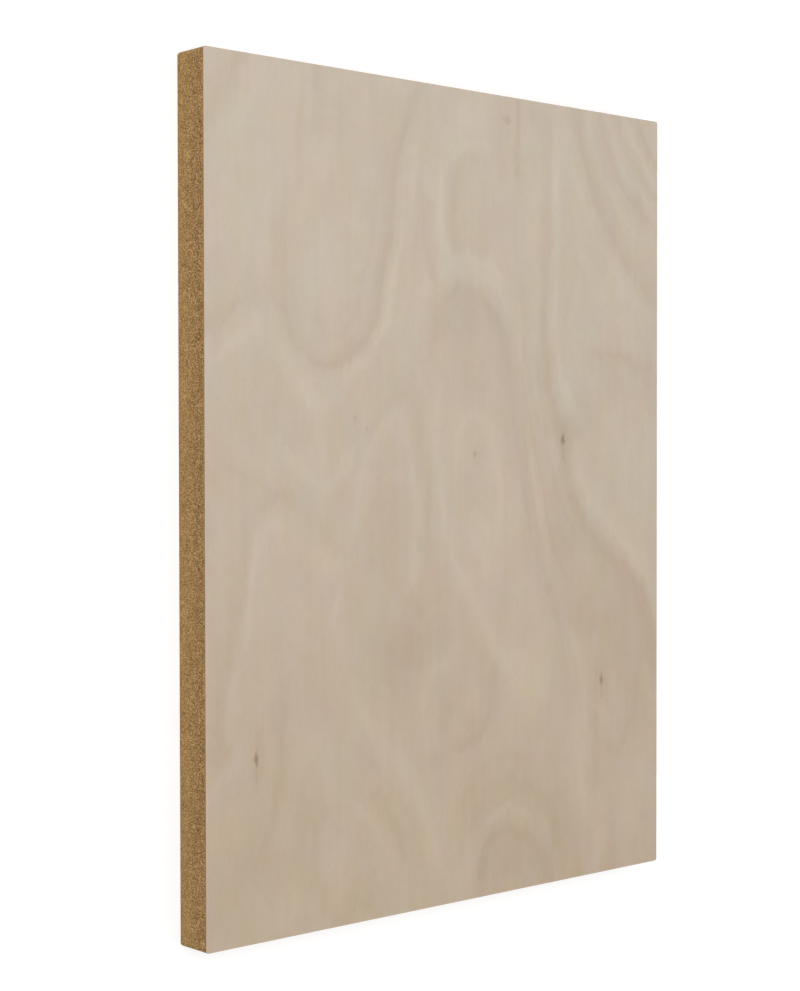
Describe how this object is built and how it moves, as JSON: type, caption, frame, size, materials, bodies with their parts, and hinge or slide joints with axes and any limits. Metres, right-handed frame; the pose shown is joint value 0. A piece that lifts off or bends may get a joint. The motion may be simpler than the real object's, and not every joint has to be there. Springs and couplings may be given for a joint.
{
  "type": "veneered mdf board",
  "caption": "Flat fibreboard panel with a thin pale wood veneer on each face and bare sawn edges, cut as stock for shelves, doors and cabinets.",
  "frame": {"origin": "middle of the underside, where the board rests", "axes": "+X across the width, +Y along the length and the grain, +Z out of the show face"},
  "size_m": [0.285, 0.38, 0.019],
  "materials": {
    "mdf": "matte",
    "birch_veneer": "matte"
  },
  "bodies": {
    "root": {"mdf_core": "mdf", "face_veneer": "birch_veneer", "back_veneer": "birch_veneer"}
  },
  "joints": []
}
